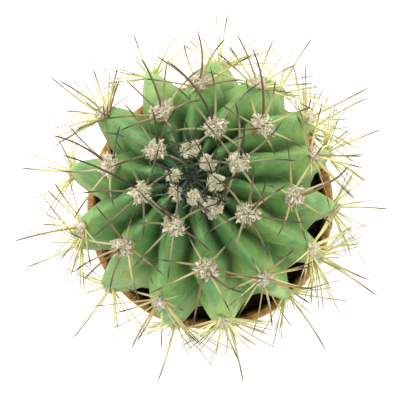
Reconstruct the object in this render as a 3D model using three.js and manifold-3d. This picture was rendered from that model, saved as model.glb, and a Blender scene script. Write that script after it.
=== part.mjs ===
// A round cactus with spiny ribs, growing in a small clay pot filled with soil.
// Millimetres, +Z up. The origin is on the pot's axis, at the foot that the pot stands on.

import * as THREE from 'three';
import { mergeVertices } from 'three/addons/utils/BufferGeometryUtils.js';
import Module from 'manifold-3d';

const { degToRad, radToDeg, lerp, smoothstep, euclideanModulo } = THREE.MathUtils;

// ---- driving dimensions ----

const GAP = 0.3; // clearance between neighbouring pieces

// clay pot
const POT_HEIGHT = 80;
const RIM_RADIUS = 45;
const LIP = 3.4; // thickness of the wall at the rim
const LIP_ROUND = 1.2;
const LIP_CORNER = 0.35 * LIP_ROUND; // how far the middle of the rounding stays inside the sharp corner
const COLLAR_HEIGHT = 18;
const COLLAR_TAPER = 1.2; // the collar is this much narrower in radius at its foot
const COLLAR_CHAMFER = [0.5, 0.8];
const FOOT_CHAMFER = 1;
const COLLAR_STEP = 2.2; // how far the collar stands out from the wall under it
const WALL = 3.8;
const FOOT_RADIUS = 30;
const FLOOR = 5;
const DRAIN_RADIUS = 5;
const POT_SIDES = 48;

// soil
const SOIL_LEVEL = 72;
const HOLE_GAP = 0.4; // a little more than the gap, as both sides of it are faceted
const HOLE_STEPS = 6;

// cactus body: an ellipsoid outline that the rib crests follow
const CREST_RADIUS = 46;
const EQUATOR = 108; // height of the widest level
const CROWN_RISE = 40; // from the widest level up to the crown
const ROOT_DROP = 51.6; // from the widest level down to the buried root end
const CROWN_DIMPLE = 3.2;
const DIMPLE_RADIUS = 7;

// grooves between the ribs
const GROOVE_DEPTH = 22;
const GROOVE_SPREAD = 45; // distance from the axis over which a groove deepens
const GROOVE_FADE = [95, 134]; // degrees down from the crown where the grooves die out
// share of the half width over which a crest is rounded, near the crown and far out
const CREST_ROUND = [0.8, 0.26];
const FLANK_POWER = [1, 1.35]; // above 1 a rib's flanks are hollow, near the crown and far out
const FAR_REACH = [8, 36]; // distances from the axis between which both change

// the side where the body has grown fuller, with shallower grooves
const FULL_SIDE = 62; // degrees round the axis
const FULL_SIDE_WIDTH = 58; // degrees
const FULLNESS = 0.48; // share of the depth that the grooves lose there, at the widest level
const FULL_GROWTH = 3; // the power of the distance from the axis with which they lose it

// the swelling under each areole, in degrees down the rib and in millimetres
const CHIN = { shift: 6, width: 6.5, height: 2 };
const NOTCH = { shift: -3, width: 4.5, height: 1.6 };
const BUMP_GROWTH = 12; // distance from the axis over which bumps grow
const GROOVE_WIGGLE = 0.12; // share of the rib spacing

// areoles
const AREOLE_PITCH = 33; // degrees down the rib, for those that the list below leaves out
const LAST_AREOLE = 116;
const WOOL_RADIUS = 4;
const YOUNG_WOOL_RADIUS = 2.2; // at the crown
const WOOL_GROWTH = 0.1; // radius gained for each millimetre away from the axis
const WOOL_WEAR = { share: 0.4, from: 40, to: 65 }; // what old areoles lose, in degrees down from the crown
const WOOL_RAGGED = [0.85, 1.1]; // reach of the pad's edge against its radius
const WOOL_HEIGHT = 2;
const WOOL_EDGE = 1; // height of the pad's edge over the skin
const WOOL_DEPTH = 2; // depth of the pad's root under the skin
const WOOL_SIDES = 7;

// spines
const RADIAL_SPINES = 7;
const RADIAL_LENGTH = [13, 19];
const RADIAL_LIFT = [18, 34]; // degrees off the skin
const RADIAL_JITTER = 12; // degrees round the areole
const RADIAL_FOOT = 2.5; // distance from the areole's middle to a radial spine's foot
const CENTRAL_LENGTH = 25; // for the areoles that the list below leaves out
const CENTRAL_LIFT = [30, 42];
const CENTRAL_LEAN = 0.6; // how much a long spine turns out of the skin, against 1 along its heading
const CENTRAL_JITTER = 12;
const YOUNG_UNTIL = 16; // degrees down from the crown
const YOUNG_LENGTH = 0.55; // against a grown spine's
const YOUNG_LIFT = 30; // degrees more than a grown spine's
const SPINE_RADIUS = 0.6;
const SPINE_SIDES = 3;
const SPINE_REACH = 65; // no tip stands further out than this from the pot's axis, along X or Y
const SPINE_ROOT = 1; // length of a spine's root under the skin
const POT_CLEARANCE = 2; // spines that would come nearer to the pot's rim are left out
const CLEARANCE_STEPS = 10;

// Each rib runs from the crown through its areoles. An areole is given by the degrees down from
// the crown, the degrees round the axis, and the heading and length of its longest spine.
const RIBS = [
  [[10, 350, 20, 10], [45, 351.5, 40, 22], [100, 355, 0, 20]],
  [[20, 18.5, 90, 15], [60, 15, -15, 18], [98, 19.5, 25, 22]],
  [[9, 41, 60, 9], [38, 39, 113, 27], [72, 33, 20, 24]],
  [[23, 65, 140, 29], [59, 59, 135, 19], [97, 54.5, 60, 24]],
  [[12, 91, 100, 10], [45.5, 87.5, 92, 18], [92, 82.5, 80, 22]],
  [[32, 114, 110, 20], [92, 113, 112, 18]],
  [[18.5, 140.5, 85, 14], [59, 141, 147, 20]],
  [[7, 169.5, 150, 9], [37, 169, 148, 22], [92, 169, 178, 22]],
  [[21, 194.5, 150, 30], [61, 199, 190, 24], [94, 200.5, 205, 22]],
  [[8.5, 223, 250, 10], [41.5, 223, 222, 18], [100, 223, 240, 24]],
  [[20, 249.5, 115, 13], [60, 252.5, 235, 19], [104, 256.5, 250, 24]],
  [[8, 282, 320, 9], [38, 278.5, -18, 17], [75, 280, -60, 15]],
  [[15, 306.5, 70, 14], [55, 306, 5, 18], [106, 310.5, 300, 24]],
  [[27, 328, 78, 16], [69.5, 331.5, -30, 22]],
];

// mesh density of the body
const STEPS_ACROSS = [-1, -0.5, 0, 0.5]; // groove, flank, crest, flank
const ROW_STEP = 5.5; // degrees, above the soil
const BURIED_ROW_STEP = 12;

// ---- small helpers ----

// where each use of the draw starts, so that no two share a number
const DRAWS = { heading: 0, turn: 10, lift: 20, length: 30, centralLift: 40, woolEdge: 50 };

// repeatable draw between 0 and 1
function draw(rib, areole, item) {
  const value = Math.sin(rib * 12.9898 + areole * 78.233 + item * 37.719) * 43758.5453;
  return value - Math.floor(value);
}

function between(range, share) {
  return lerp(range[0], range[1], share);
}

function bell(x) {
  return Math.exp(-x * x);
}

function unit(degrees) {
  return new THREE.Vector3(Math.cos(degToRad(degrees)), Math.sin(degToRad(degrees)), 0);
}

// ---- cactus body ----

function listAreoles() {
  return RIBS.map((listed, rib) => {
    const areoles = listed.map(([down, around, heading, length]) => ({ down, around, heading, length }));
    let last = areoles.at(-1);
    while (last.down + AREOLE_PITCH <= LAST_AREOLE) {
      const { around } = last;
      const jitter = between([-CENTRAL_JITTER, CENTRAL_JITTER], draw(rib, areoles.length, DRAWS.heading));
      last = { down: last.down + AREOLE_PITCH, around, heading: around + jitter, length: CENTRAL_LENGTH };
      areoles.push(last);
    }
    return areoles;
  });
}

// the outline's radius, height and outward direction
function outline(down) {
  const angle = degToRad(down);
  const rise = down < 90 ? CROWN_RISE : ROOT_DROP;
  const outward = new THREE.Vector2(rise * Math.sin(angle), CREST_RADIUS * Math.cos(angle)).normalize();
  return {
    radius: CREST_RADIUS * Math.sin(angle),
    height: EQUATOR + rise * Math.cos(angle),
    outward,
  };
}

// degrees round the axis of a rib's crest
function crestAround(areoles, down) {
  if (down <= areoles[0].down) return areoles[0].around;
  for (let k = 1; k < areoles.length; k += 1) {
    const above = areoles[k - 1];
    const below = areoles[k];
    if (down <= below.down) {
      return lerp(above.around, below.around, (down - above.down) / (below.down - above.down));
    }
  }
  return areoles.at(-1).around;
}

function swelling(areoles, down, { shift, width }) {
  return areoles.reduce((sum, areole) => sum + bell((down - areole.down - shift) / width), 0);
}

// degrees round the axis of the groove between a rib and the next one
function grooveAround(ribs, rib, down) {
  const here = ribs[rib];
  const next = ribs[(rib + 1) % ribs.length];
  const start = crestAround(here, down);
  const spacing = euclideanModulo(crestAround(next, down) - start, 360);
  const push = swelling(here, down, CHIN) - swelling(next, down, CHIN);
  return start + spacing * (0.5 + GROOVE_WIGGLE * push);
}

// a rib's profile: 1 on its rounded crest, and 0 in the grooves
function flank(across, radius) {
  const far = smoothstep(radius, FAR_REACH[0], FAR_REACH[1]);
  const round = between(CREST_ROUND, far);
  const slope = (Math.hypot(across, round) - round) / (Math.hypot(1, round) - round);
  return Math.max(0, 1 - slope) ** between(FLANK_POWER, far);
}

// a point of the skin: across runs from -1 in one groove over 0 on the crest to 1 in the next
function skin(ribs, rib, down, across) {
  const { radius, height, outward } = outline(down);
  const areoles = ribs[rib];
  const crest = crestAround(areoles, down);
  const groove = across < 0
    ? grooveAround(ribs, (rib + ribs.length - 1) % ribs.length, down)
    : grooveAround(ribs, rib, down);
  const turn = euclideanModulo(groove - crest + 180, 360) - 180;
  const around = crest + turn * Math.abs(across);

  const fade = 1 - smoothstep(down, GROOVE_FADE[0], GROOVE_FADE[1]);
  const aside = euclideanModulo(around - FULL_SIDE + 180, 360) - 180;
  const full = 1 - FULLNESS * bell(aside / FULL_SIDE_WIDTH) * (radius / CREST_RADIUS) ** FULL_GROWTH;
  const depth = GROOVE_DEPTH * full * (1 - Math.exp(-radius / GROOVE_SPREAD)) * fade;
  const relief = CHIN.height * swelling(areoles, down, CHIN) - NOTCH.height * swelling(areoles, down, NOTCH);
  const bump = relief * (1 - Math.exp(-radius / BUMP_GROWTH)) * fade;
  const lift = -depth + (depth + bump) * flank(across, radius);

  const distance = radius + lift * outward.x;
  const dimple = down < 90 ? CROWN_DIMPLE * bell(distance / DIMPLE_RADIUS) : 0;
  const point = unit(around).multiplyScalar(distance);
  point.z = height + lift * outward.y - dimple;
  return point;
}

function rowAngles() {
  const rows = [];
  for (let down = ROW_STEP; down < GROOVE_FADE[1]; down += ROW_STEP) rows.push(down);
  for (let down = GROOVE_FADE[1]; down < 180 - BURIED_ROW_STEP / 2; down += BURIED_ROW_STEP) rows.push(down);
  return rows;
}

function bodyGeometry(ribs) {
  const rows = rowAngles();
  const columns = ribs.length * STEPS_ACROSS.length;
  const points = [new THREE.Vector3(0, 0, EQUATOR + CROWN_RISE - CROWN_DIMPLE)];
  for (const down of rows) {
    for (let rib = 0; rib < ribs.length; rib += 1) {
      for (const across of STEPS_ACROSS) points.push(skin(ribs, rib, down, across));
    }
  }
  points.push(new THREE.Vector3(0, 0, EQUATOR - ROOT_DROP));

  const at = (row, column) => 1 + row * columns + (column % columns);
  const bottom = points.length - 1;
  const index = [];
  for (let column = 0; column < columns; column += 1) {
    index.push(0, at(0, column), at(0, column + 1));
    for (let row = 0; row < rows.length - 1; row += 1) {
      index.push(at(row, column), at(row + 1, column), at(row, column + 1));
      index.push(at(row, column + 1), at(row + 1, column), at(row + 1, column + 1));
    }
    index.push(at(rows.length - 1, column), bottom, at(rows.length - 1, column + 1));
  }
  return indexedGeometry(points, index);
}

function indexedGeometry(points, index) {
  const geometry = new THREE.BufferGeometry().setFromPoints(points);
  geometry.setIndex(index);
  return geometry;
}

// ---- areoles: a woolly pad and its spines ----

// where an areole sits: its place on the skin, and directions out of it, down the rib and across it
function areoleFrame(ribs, rib, areole) {
  const place = skin(ribs, rib, areole.down, 0);
  const { outward } = outline(areole.down);
  const out = unit(areole.around).multiplyScalar(outward.x);
  out.z = outward.y;
  const across = new THREE.Vector3(0, 0, 1).cross(out).normalize();
  const downRib = across.clone().cross(out);
  return { place, out, across, downRib };
}

function offset(frame, angle, distance, height) {
  return frame.place.clone()
    .addScaledVector(frame.downRib, distance * Math.cos(degToRad(angle)))
    .addScaledVector(frame.across, distance * Math.sin(degToRad(angle)))
    .addScaledVector(frame.out, height);
}

function woolRadius(frame, down) {
  const distance = Math.hypot(frame.place.x, frame.place.y);
  const grown = Math.min(WOOL_RADIUS, YOUNG_WOOL_RADIUS + WOOL_GROWTH * distance);
  return grown * (1 - WOOL_WEAR.share * smoothstep(down, WOOL_WEAR.from, WOOL_WEAR.to));
}

// a low ragged dome, sunk into the rib
function woolPad(frame, areole, rib, number) {
  const radius = woolRadius(frame, areole.down);
  const sunk = [];
  const edge = [];
  for (let k = 0; k < WOOL_SIDES; k += 1) {
    const angle = (360 * k) / WOOL_SIDES;
    const reach = radius * between(WOOL_RAGGED, draw(rib, number, DRAWS.woolEdge + k));
    sunk.push(offset(frame, angle, radius / 2, -WOOL_DEPTH));
    edge.push(offset(frame, angle, reach, WOOL_EDGE));
  }
  return prism(sunk, edge, offset(frame, 0, 0, WOOL_HEIGHT));
}

// a closed solid: a bottom ring, an edge ring round it and a peak, or just a ring and a peak
function prism(bottom, edge, peak) {
  const sides = bottom.length;
  const points = [...bottom, ...edge, peak];
  const index = [];
  for (let k = 1; k < sides - 1; k += 1) index.push(0, k + 1, k);
  for (let k = 0; k < sides; k += 1) {
    const next = (k + 1) % sides;
    if (edge.length > 0) {
      index.push(k, next, sides + k);
      index.push(next, sides + next, sides + k);
    }
    index.push(edge.length + k, edge.length + next, points.length - 1);
  }
  return indexedGeometry(points, index);
}

function spine(start, direction, length) {
  const side = new THREE.Vector3(0, 0, 1).cross(direction).normalize();
  const other = direction.clone().cross(side);
  const root = start.clone().addScaledVector(direction, -SPINE_ROOT);
  const ring = [];
  for (let k = 0; k < SPINE_SIDES; k += 1) {
    const angle = (2 * Math.PI * k) / SPINE_SIDES;
    ring.push(root.clone()
      .addScaledVector(side, SPINE_RADIUS * Math.cos(angle))
      .addScaledVector(other, SPINE_RADIUS * Math.sin(angle)));
  }
  return prism(ring, [], start.clone().addScaledVector(direction, length));
}

// the length that a spine may have before its tip passes the reach
function lengthInReach(start, direction, length) {
  const along = ['x', 'y'].map((axis) => {
    const room = SPINE_REACH - Math.sign(direction[axis]) * start[axis];
    return room / Math.abs(direction[axis]);
  });
  return Math.min(length, ...along);
}

function clearsPot(start, direction, length) {
  for (let k = 0; k <= CLEARANCE_STEPS; k += 1) {
    const point = start.clone().addScaledVector(direction, (length * k) / CLEARANCE_STEPS);
    const low = point.z < POT_HEIGHT + POT_CLEARANCE;
    if (low && Math.hypot(point.x, point.y) < RIM_RADIUS + POT_CLEARANCE) return false;
  }
  return true;
}

function radialSpine(frame, areole, rib, number, k) {
  const young = areole.down < YOUNG_UNTIL;
  const jitter = between([-RADIAL_JITTER, RADIAL_JITTER], draw(rib, number, DRAWS.turn + k));
  const angle = (360 * (k + 0.5)) / RADIAL_SPINES + jitter;
  const lift = between(RADIAL_LIFT, draw(rib, number, DRAWS.lift + k)) + (young ? YOUNG_LIFT : 0);
  const length = between(RADIAL_LENGTH, draw(rib, number, DRAWS.length + k)) * (young ? YOUNG_LENGTH : 1);
  const flat = offset(frame, angle, 1, 0).sub(frame.place);
  return { flat, lift, length, foot: RADIAL_FOOT };
}

function centralSpine(frame, areole, rib, number) {
  const heading = unit(areole.heading);
  const flat = heading.clone().addScaledVector(frame.out, -heading.dot(frame.out)).normalize();
  const leaning = heading.addScaledVector(frame.out, CENTRAL_LEAN);
  const ownLift = 90 - radToDeg(leaning.angleTo(frame.out));
  const lift = Math.max(ownLift, between(CENTRAL_LIFT, draw(rib, number, DRAWS.centralLift)));
  return { flat, lift, length: areole.length, foot: 0 };
}

function areoleSolids(ribs, rib, number) {
  const areole = ribs[rib][number];
  const frame = areoleFrame(ribs, rib, areole);
  const solids = [woolPad(frame, areole, rib, number)];
  const spines = [centralSpine(frame, areole, rib, number)];
  for (let k = 0; k < RADIAL_SPINES; k += 1) spines.push(radialSpine(frame, areole, rib, number, k));
  for (const { flat, lift, length, foot } of spines) {
    const direction = flat.clone().multiplyScalar(Math.cos(degToRad(lift)))
      .addScaledVector(frame.out, Math.sin(degToRad(lift)));
    const start = frame.place.clone().addScaledVector(flat, foot);
    const fitted = lengthInReach(start, direction, length);
    if (clearsPot(start, direction, fitted)) solids.push(spine(start, direction, fitted));
  }
  return solids;
}

// ---- joining into one solid ----

const wasm = await Module();
wasm.setup();

function toManifold(geometry) {
  const vertProperties = new Float32Array(geometry.getAttribute('position').array);
  const triVerts = new Uint32Array(geometry.getIndex().array);
  return new wasm.Manifold(new wasm.Mesh({ numProp: 3, vertProperties, triVerts }));
}

function fromManifold(solid) {
  const { vertProperties, triVerts } = solid.getMesh();
  const geometry = new THREE.BufferGeometry();
  geometry.setAttribute('position', new THREE.BufferAttribute(new Float32Array(vertProperties), 3));
  geometry.setIndex(Array.from(triVerts));
  return geometry;
}

function cactusGeometry() {
  const ribs = listAreoles();
  let cactus = toManifold(bodyGeometry(ribs));
  ribs.forEach((areoles, rib) => {
    areoles.forEach((_, number) => {
      for (const solid of areoleSolids(ribs, rib, number)) cactus = cactus.add(toManifold(solid));
    });
  });
  return fromManifold(cactus);
}

// ---- pot and soil ----

// revolves a closed profile of [radius, height] points about +Z
function revolve(profile) {
  const points = profile.map(([radius, height]) => new THREE.Vector2(radius, height));
  const geometry = new THREE.LatheGeometry(points, POT_SIDES);
  geometry.deleteAttribute('normal');
  geometry.deleteAttribute('uv');
  geometry.rotateX(Math.PI / 2);
  return mergeVertices(geometry);
}

// radius of the pot's inner wall at a height
function innerRadius(height) {
  const bottom = FOOT_RADIUS - WALL;
  const top = RIM_RADIUS - LIP;
  return lerp(bottom, top, height / POT_HEIGHT);
}

function potGeometry() {
  const collarFoot = POT_HEIGHT - COLLAR_HEIGHT;
  const collarRadius = RIM_RADIUS - COLLAR_TAPER;
  const shoulder = collarRadius - COLLAR_STEP;
  const outerLip = [
    [RIM_RADIUS, POT_HEIGHT - LIP_ROUND],
    [RIM_RADIUS - LIP_CORNER, POT_HEIGHT - LIP_CORNER],
    [RIM_RADIUS - LIP_ROUND, POT_HEIGHT],
  ];
  const innerLip = [
    [RIM_RADIUS - LIP + LIP_ROUND, POT_HEIGHT],
    [RIM_RADIUS - LIP + LIP_CORNER, POT_HEIGHT - LIP_CORNER],
    [RIM_RADIUS - LIP, POT_HEIGHT - LIP_ROUND],
  ];
  const profile = [
    [DRAIN_RADIUS, 0],
    [FOOT_RADIUS - FOOT_CHAMFER, 0],
    [FOOT_RADIUS, FOOT_CHAMFER],
    [shoulder, collarFoot],
    [collarRadius - COLLAR_CHAMFER[0], collarFoot],
    [collarRadius, collarFoot + COLLAR_CHAMFER[1]],
    ...outerLip,
    ...innerLip,
    [innerRadius(FLOOR), FLOOR],
    [DRAIN_RADIUS, FLOOR],
  ];
  return revolve([...profile, profile[0]]);
}

// the soil fills the pot round a plain hole, in which the cactus sits
function soilGeometry() {
  const bottom = FLOOR + GAP;
  const hole = [];
  for (let k = 0; k < HOLE_STEPS; k += 1) {
    const { radius, height } = outline(lerp(degreesToLevel(SOIL_LEVEL), 180, k / HOLE_STEPS));
    hole.push([radius + HOLE_GAP, k === 0 ? SOIL_LEVEL : height - HOLE_GAP]);
  }
  return revolve([
    [0, bottom],
    [innerRadius(bottom) - GAP, bottom],
    [innerRadius(SOIL_LEVEL) - GAP, SOIL_LEVEL],
    ...hole,
    [0, EQUATOR - ROOT_DROP - HOLE_GAP],
  ]);
}

// degrees down from the crown where the outline passes a height under the widest level
function degreesToLevel(height) {
  return radToDeg(Math.acos((height - EQUATOR) / ROOT_DROP));
}

// ---- the object ----

function addPiece(group, name, geometry, color, roughness) {
  const material = new THREE.MeshStandardMaterial({ color, roughness, metalness: 0 });
  const mesh = new THREE.Mesh(geometry, material);
  mesh.name = name;
  group.add(mesh);
}

const pottedCactus = new THREE.Group();
addPiece(pottedCactus, 'pot', potGeometry(), 0xb0804a, 0.85);
addPiece(pottedCactus, 'soil', soilGeometry(), 0x2e2318, 1);
addPiece(pottedCactus, 'cactus', cactusGeometry(), 0x567e45, 0.6);

export default pottedCactus;
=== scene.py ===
# A round cactus in a small clay pot, seen from almost straight above on a pale floor.
# Shapes are worked out in millimetres and made in metres, +Z up, with the origin at the pot's foot.

import math

import bmesh
import bpy
import numpy as np
from mathutils import Matrix, Vector, noise


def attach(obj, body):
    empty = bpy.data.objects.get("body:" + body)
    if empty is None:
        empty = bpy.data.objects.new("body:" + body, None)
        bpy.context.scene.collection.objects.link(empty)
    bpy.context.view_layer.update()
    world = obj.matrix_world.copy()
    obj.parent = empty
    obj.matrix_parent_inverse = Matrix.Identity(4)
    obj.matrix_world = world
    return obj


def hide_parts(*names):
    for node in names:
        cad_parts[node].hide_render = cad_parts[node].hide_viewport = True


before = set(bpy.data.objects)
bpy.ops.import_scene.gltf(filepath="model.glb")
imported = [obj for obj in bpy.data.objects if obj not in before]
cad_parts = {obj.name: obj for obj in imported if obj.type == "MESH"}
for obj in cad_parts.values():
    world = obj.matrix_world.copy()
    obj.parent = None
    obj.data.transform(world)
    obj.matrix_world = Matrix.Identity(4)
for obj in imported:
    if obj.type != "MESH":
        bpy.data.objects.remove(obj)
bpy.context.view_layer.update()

MM = 0.001

# ---- sizes shared with the solids ----

POT_HEIGHT = 80
RIM_RADIUS = 45
LIP = 3.4
LIP_ROUND = 1.2
COLLAR_HEIGHT = 18
COLLAR_RADIUS = 43.8
COLLAR_STEP = 2.2
WALL = 3.8
FOOT_RADIUS = 30
FLOOR = 5
DRAIN_RADIUS = 5
GAP = 0.3

SOIL_LEVEL = 72
HOLE_GAP = 0.4

CREST_RADIUS = 46
EQUATOR = 108
CROWN_RISE = 40
ROOT_DROP = 51.6
CROWN_DIMPLE = 3.2
DIMPLE_RADIUS = 7

GROOVE_DEPTH = 22
GROOVE_SPREAD = 45
GROOVE_FADE = (95, 134)
CREST_ROUND = (0.8, 0.26)  # share of the half width over which a crest is rounded, near the crown and far out
FLANK_POWER = (1, 1.35)  # above 1 a rib's flanks are hollow, near the crown and far out
FAR_REACH = (8, 36)  # distances from the axis between which both change
FULL_SIDE = 62  # degrees round the axis where the body has grown fuller, with shallower grooves
FULL_SIDE_WIDTH = 58
FULLNESS = 0.48  # share of the depth that the grooves lose there, at the widest level
FULL_GROWTH = 3  # the power of the distance from the axis with which they lose it
CHIN = {"shift": 6, "width": 6.5, "height": 2}
NOTCH = {"shift": -3, "width": 4.5, "height": 1.6}
BUMP_GROWTH = 12
GROOVE_WIGGLE = 0.12

AREOLE_PITCH = 33
LAST_AREOLE = 116
WOOL_RADIUS = 4
YOUNG_WOOL_RADIUS = 2.2
WOOL_GROWTH = 0.1
WOOL_WEAR = 0.4  # share of the radius that old areoles lose
WOOL_WEAR_REACH = (40, 65)

RADIAL_SPINES = 7
RADIAL_LENGTH = (13, 19)
RADIAL_LIFT = (18, 34)
RADIAL_JITTER = 12
RADIAL_FOOT = 2.5
CENTRAL_LENGTH = 25
CENTRAL_LIFT = (30, 42)
CENTRAL_LEAN = 0.6
CENTRAL_JITTER = 12
YOUNG_UNTIL = 16
YOUNG_LENGTH = 0.55
YOUNG_LIFT = 30
SPINE_REACH = 65
SPINE_ROOT = 1
POT_CLEARANCE = 2

# Each rib runs from the crown through its areoles. An areole is given by the degrees down from
# the crown, the degrees round the axis, and the heading and length of its longest spine.
RIBS = [
    [(10, 350, 20, 10), (45, 351.5, 40, 22), (100, 355, 0, 20)],
    [(20, 18.5, 90, 15), (60, 15, -15, 18), (98, 19.5, 25, 22)],
    [(9, 41, 60, 9), (38, 39, 113, 27), (72, 33, 20, 24)],
    [(23, 65, 140, 29), (59, 59, 135, 19), (97, 54.5, 60, 24)],
    [(12, 91, 100, 10), (45.5, 87.5, 92, 18), (92, 82.5, 80, 22)],
    [(32, 114, 110, 20), (92, 113, 112, 18)],
    [(18.5, 140.5, 85, 14), (59, 141, 147, 20)],
    [(7, 169.5, 150, 9), (37, 169, 148, 22), (92, 169, 178, 22)],
    [(21, 194.5, 150, 30), (61, 199, 190, 24), (94, 200.5, 205, 22)],
    [(8.5, 223, 250, 10), (41.5, 223, 222, 18), (100, 223, 240, 24)],
    [(20, 249.5, 115, 13), (60, 252.5, 235, 19), (104, 256.5, 250, 24)],
    [(8, 282, 320, 9), (38, 278.5, -18, 17), (75, 280, -60, 15)],
    [(15, 306.5, 70, 14), (55, 306, 5, 18), (106, 310.5, 300, 24)],
    [(27, 328, 78, 16), (69.5, 331.5, -30, 22)],
]

# ---- finer detail of the body and its spines ----

COLUMNS_PER_RIB = 36
COLUMN_CROWDING = 0.05
ROW_STEP = 0.75  # degrees
BURIED_ROW_STEP = 4
SKIN_RIPPLE = {"height": 0.22, "size": 9}  # the skin's slow unevenness
SKIN_GRAIN = {"height": 0.05, "size": 2}

SPINE_RADIUS = 0.46
RADIAL_THICKNESS = 0.95  # against a central spine's
YOUNG_THICKNESS = 0.7
YOUNG_CENTRAL_THICKNESS = 1.1
LOW_THICKNESS = 0.7  # of the spines below the widest level
SPINE_STEPS = 16
SPINE_SIDES = 7
SPINE_TAPER = 0.5  # share of its thickness that a spine loses evenly along its length
POINT_SHARPNESS = 6  # at 6 about the last 15 % of the length narrows to the point
POINT_WIDTH = 0.12  # share of that width that is left at the tip
SPINE_ARCH = 0.05  # how far a spine bends out of the skin, against its length
CENTRAL_BOW = (0.04, 0.1)  # how far it bends sideways
RADIAL_BOW = (-0.06, 0.06)
OUTER_STRAIGHTNESS = 0.35  # bends of the outer spines against those of the upper ones
STRAIGHTENING = (0.4, 0.55)  # ages between which the bends shrink
CENTRAL_TONE = (0, 0.3)
RADIAL_TONE = (0.35, 1)
CLEARANCE_CHECKS = 31  # places along a spine that are compared with the pot

BRISTLES = 7  # thin spines between the radial ones of an outer areole
LOW_BRISTLES = 15  # on the areoles below the widest level
BRISTLES_FROM = 50  # degrees down from the crown
BRISTLE_RADIUS = 0.27
BRISTLE_LENGTH = (12, 24)
BRISTLE_LIFT = (5, 45)
BRISTLE_JITTER = 20
BRISTLE_FOOT = 2
BRISTLE_BOW = (-0.06, 0.06)
BRISTLE_TONE = (0.3, 1)
SHORTEST_BRISTLE = 5  # next to the pot
BRISTLE_CLEARANCE = 0.6

# what each repeatable draw of an areole is for; a row of spines takes the numbers that follow
DRAWS = {
    "heading": 0,
    "radial_turn": 10, "radial_lift": 20, "radial_length": 30, "radial_tone": 90, "radial_bow": 110,
    "central_lift": 40, "central_tone": 41, "central_bow": 42,
    "pad_width": 50,
    "bristle_turn": 60, "bristle_lift": 70, "bristle_length": 80, "bristle_tone": 100, "bristle_bow": 120,
}

# ---- wool and the hairs over the growing point ----

PAD_RINGS = 10
PAD_SIDES = 24
PAD_WIDTH = 0.86  # of the felt, against the areole's wool
PAD_HEIGHT = 1.7
YOUNG_PAD_HEIGHT = 1.2
PAD_DEPTH = 1.5  # how far the felt is sunk into the rib
YOUNG_PAD_WIDTH = (0.8, 1.25)
PAD_LUMPS = [(1.6, 0.35), (0.6, 0.15)]  # sizes, and heights against the pad's
PAD_TONE_SIZE = 0.9
# the place along a tuft that young felt pads count as, which keeps the painted root shade off them
YOUNG_PAD_ALONG = 0.6

TUFT_STEPS = 6
TUFT_SIDES = 5
TUFTS = {"count": 100, "length": (1.1, 2.4), "radius": 0.66, "flatness": 0.45}  # of one areole
THREADS = {"count": 22, "length": (1.5, 3.2), "radius": 0.11, "flatness": 1}  # loose ones between them
HAIR_TIP = 0.05  # share of its section that a tuft keeps at its tip, and of its thickness that a hair keeps
TUFT_REACH = 2.6  # how far from a full pad's middle the outermost tufts stand
TUFT_DOME = 1.3  # height of the dome that they stand on, in its middle
DOME_FALL = 0.75  # 0 is a flat top, 1 a dome that falls to nothing at its edge
PAD_OUTLINE = [(2, 0.22), (5, 0.16)]  # waves round a pad's edge, and their heights
TUFT_LEAN = (5, 40)  # degrees away from straight out, in a pad's middle
EDGE_LEAN = 50  # degrees more at its edge
TUFT_DISORDER = 0.45
CURL = 0.3  # how far a tuft curls, against its length
CURL_DISORDER = 0.2
CURL_TURN = (2, 5)  # radians over a tuft's length
TUFT_THICKNESS = (0.5, 1.4)
YOUNG_FINENESS = 0.5  # thickness of a young areole's tufts against that of a grown one's

TANGLE = 170  # hairs over the growing point
TANGLE_SPREAD = 10
TANGLE_AREA = (0.02, 1)  # leaves the very middle free
TANGLE_RADIUS = 0.16
TANGLE_THICKNESS = (0.8, 1.6)
TANGLE_LENGTH = (5, 12)
TANGLE_RISE = (0.15, 0.9)
TANGLE_DISORDER = 0.9  # radians
TANGLE_BEND = 1.1
TANGLE_SINK = 1.5
TANGLE_FALL = 0.012  # how fast the skin under the hairs falls away
TANGLE_EDGE = {"height": 1.2, "width": 3}  # the edge of the dimple, on which they stand higher
PALE_SHARE = 0.45
PALE_THICKNESS = 0.5
PALE_TONE = 1.2
TANGLE_ALONG = 0.2  # the hairs take only this share of a spine's colours towards its tip

# ---- finer detail of the pot and the soil ----

POT_SIDES = 160
POT_STEP = 2
FOOT_ROUND = 1
COLLAR_ROUND = 0.8
TURNING_PITCH = 2.9
TURNING_HEIGHT = 0.06
CLAY_SWELL = {"height": 0.12, "size": 14}
CLAY_INSET = 0.15  # keeps the uneven clay inside the solid's outline
INSIDE_MARGIN = 1  # clay this close to the inner wall counts as the inside

SOIL_SIDES = 180
SOIL_STEP = 0.9
HOLE_STEPS = 20
HOLE_END = 176  # degrees down from the crown
CORE_RADIUS = 0.4  # of the thin hole on the axis where the soil's profile closes
SOIL_LUMPS = [(3, 0.7), (1.1, 0.35)]  # sizes and heights
SOIL_TONE_SIZE = 1.6

GRAINS = 900
GRAIN_SIZE = (0.5, 1.5)
GRAIN_STRETCH = (0.6, 1.2)
GRAIN_LUMPS = {"height": 0.3, "size": 0.7}
GRAIN_RING = (33.8, 40)  # the open soil between the plant and the pot
GRAIN_RISE = 0.3  # share of its size by which a grain's middle stands above the soil
GRAIN_TURN = 6.28  # radians, just short of a full turn

SEEDS = {
    "ripple": 1, "skin_grain": 2, "clay": 3, "soil_lumps": 4, "soil_tone": 6, "pad_tone": 7,
    "tangle": 11, "grains": 5, "grain_lumps": 20, "upper_wool": 100, "outer_wool": 200,
}

# ---- camera and lights ----

PHOTO_SIZE = 400  # pixels
FOCAL_PIXELS = 1433
RIM_PIXEL = (209, 205)  # where the middle of the pot's rim lies in the photograph
SENSOR = 36
CAMERA_DISTANCE = 520  # from the middle of the pot's rim
CAMERA_TILT = 9.2  # degrees off the vertical
CAMERA_SIDE = -54.9  # degrees round the axis towards which the camera stands

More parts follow.
